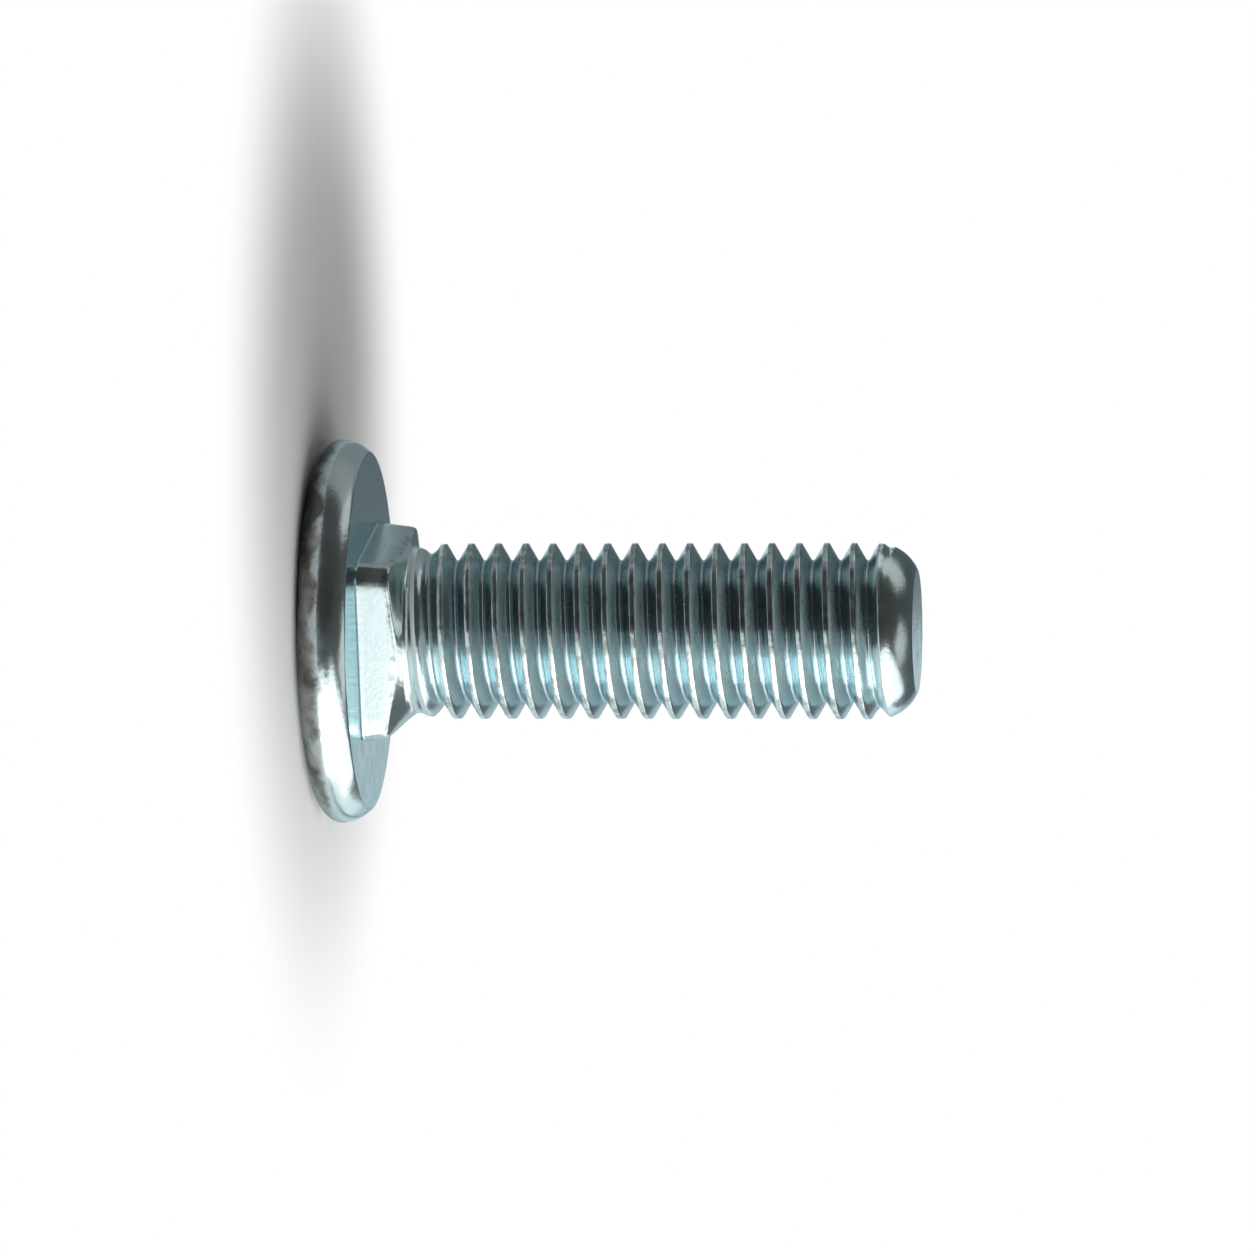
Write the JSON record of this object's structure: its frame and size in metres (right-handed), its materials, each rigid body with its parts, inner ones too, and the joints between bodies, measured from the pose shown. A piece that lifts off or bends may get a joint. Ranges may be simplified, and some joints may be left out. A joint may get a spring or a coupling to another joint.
{
  "type": "flat head bolt",
  "caption": "Flat, wide, round head on a short square neck, with a full right-hand metric thread and a rounded tip, in bright zinc plated steel.",
  "frame": {"origin": "on the bolt's axis, in the plane of the head's bearing face", "axes": "+Z along the shank, from the bearing face to the tip; the neck's flats face along X and Y"},
  "size_m": [0.0175, 0.0174, 0.0273],
  "materials": {
    "zinc_plate": "bright zinc plate with a cold blue tint, satin"
  },
  "bodies": {
    "root": {"bolt": "zinc_plate"}
  },
  "joints": []
}
